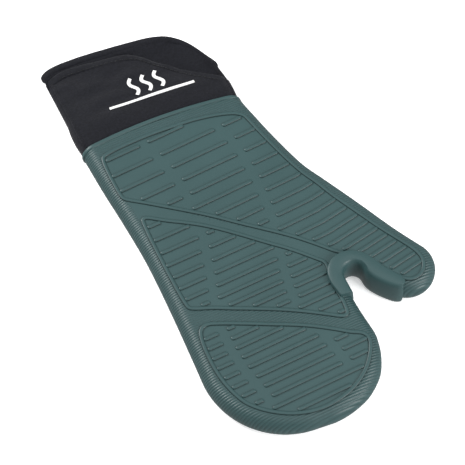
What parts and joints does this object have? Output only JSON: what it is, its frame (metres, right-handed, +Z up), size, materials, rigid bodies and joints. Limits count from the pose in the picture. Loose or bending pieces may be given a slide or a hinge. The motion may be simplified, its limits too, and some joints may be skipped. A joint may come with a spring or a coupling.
{
  "type": "heat resistant oven mitt",
  "caption": "Oven mitt with a ribbed silicone shell over a padded liner, a bumper in the thumb crotch and a cut-back fabric cuff; fingers and thumb flex.",
  "frame": {"origin": "middle of the underside of the mitt as it lies palm down", "axes": "+X to the thumb side, +Y along the hand to the mouth of the cuff, +Z up out of the back of the hand"},
  "size_m": [0.2138, 0.3862, 0.0271],
  "materials": {
    "silicone": "satin",
    "cuff_fabric": "matt",
    "thread": "matt",
    "lining": "matt",
    "wadding": "matt",
    "print": "matt"
  },
  "bodies": {
    "hand": {"shell_hand": "silicone", "bumper_hand": "silicone", "wadding_back_hand": "wadding", "wadding_palm_hand": "wadding", "lining_back_hand": "lining", "lining_palm_hand": "lining", "cuff_back": "cuff_fabric", "cuff_palm": "cuff_fabric", "hem_back": "cuff_fabric", "hem_palm": "cuff_fabric", "hem_stitching_back": "thread", "hem_stitching_palm": "thread", "side_seam_little": "cuff_fabric", "side_seam_thumb": "cuff_fabric", "heat_mark": "print"},
    "fingers": {"shell_fingers": "silicone", "wadding_back_fingers": "wadding", "wadding_palm_fingers": "wadding", "lining_back_fingers": "lining", "lining_palm_fingers": "lining"},
    "thumb": {"shell_thumb": "silicone", "bumper_thumb": "silicone", "wadding_back_thumb": "wadding", "wadding_palm_thumb": "wadding", "lining_back_thumb": "lining", "lining_palm_thumb": "lining"}
  },
  "joints": [
    {"name": "finger_curl", "type": "hinge", "parent": "hand", "child": "fingers", "pos_m": [-0.03259, -0.11708, 0.0275], "axis": [-1, 0, 0], "range_deg": [0, 50], "stiffness_Nm_per_rad": 0.15},
    {"name": "thumb_flex", "type": "hinge", "parent": "hand", "child": "thumb", "pos_m": [0.04291, -0.08958, 0.0285], "axis": [-0.6691, -0.7431, 0], "range_deg": [0, 40], "stiffness_Nm_per_rad": 0.1}
  ]
}
